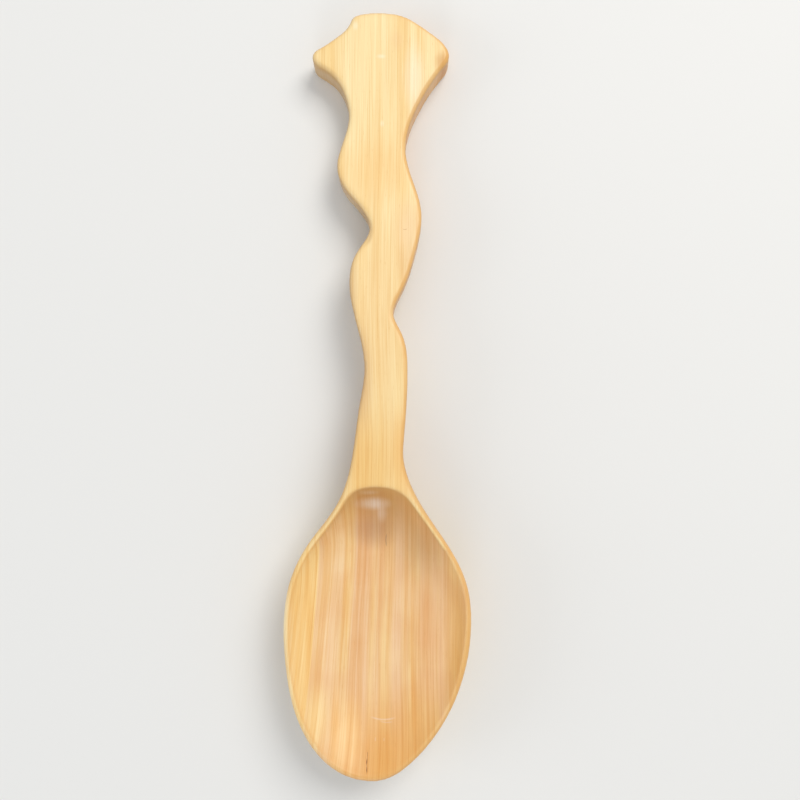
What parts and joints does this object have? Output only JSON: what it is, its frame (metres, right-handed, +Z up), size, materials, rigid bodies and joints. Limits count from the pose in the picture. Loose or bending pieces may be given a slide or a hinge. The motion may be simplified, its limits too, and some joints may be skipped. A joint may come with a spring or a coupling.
{
  "type": "carved wooden love spoon",
  "caption": "Love spoon carved from pale wood, with an egg-shaped bowl, a wavy handle and a flared finial, for display or serving.",
  "frame": {"origin": "centre of the spoon's length and width, on the surface that it lies on", "axes": "+X across the spoon to the right, +Y from the bowl towards the finial, +Z up out of the bowl; the spoon lies face up"},
  "size_m": [0.0478, 0.2, 0.0145],
  "materials": {
    "wood": "satin, lightly oiled"
  },
  "bodies": {
    "root": {"spoon": "wood"}
  },
  "joints": []
}
